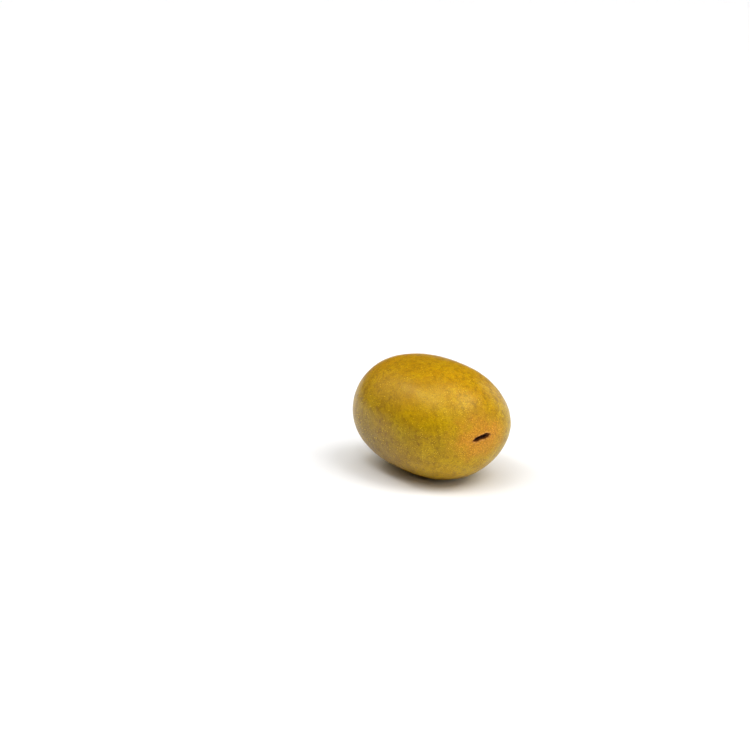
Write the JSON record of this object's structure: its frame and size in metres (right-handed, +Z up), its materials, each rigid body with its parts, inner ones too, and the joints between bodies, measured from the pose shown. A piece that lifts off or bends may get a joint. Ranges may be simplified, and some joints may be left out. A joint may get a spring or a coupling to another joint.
{
  "type": "golden kiwi fruit",
  "caption": "Whole picked kiwi fruit with smooth golden skin, lying on its side: a plump barrel with blunt ends, a dark stem slot, a dried blossom end and a small flat resting spot.",
  "frame": {"origin": "centre of the bounding box's base, on the surface the fruit rests on", "axes": "+X along the fruit's long axis towards the stem slot, +Y across its width, +Z up from the resting spot"},
  "size_m": [0.0712, 0.053, 0.0469],
  "materials": {
    "skin": "satin, waxy"
  },
  "bodies": {
    "root": {"kiwi_fruit": "skin"}
  },
  "joints": []
}
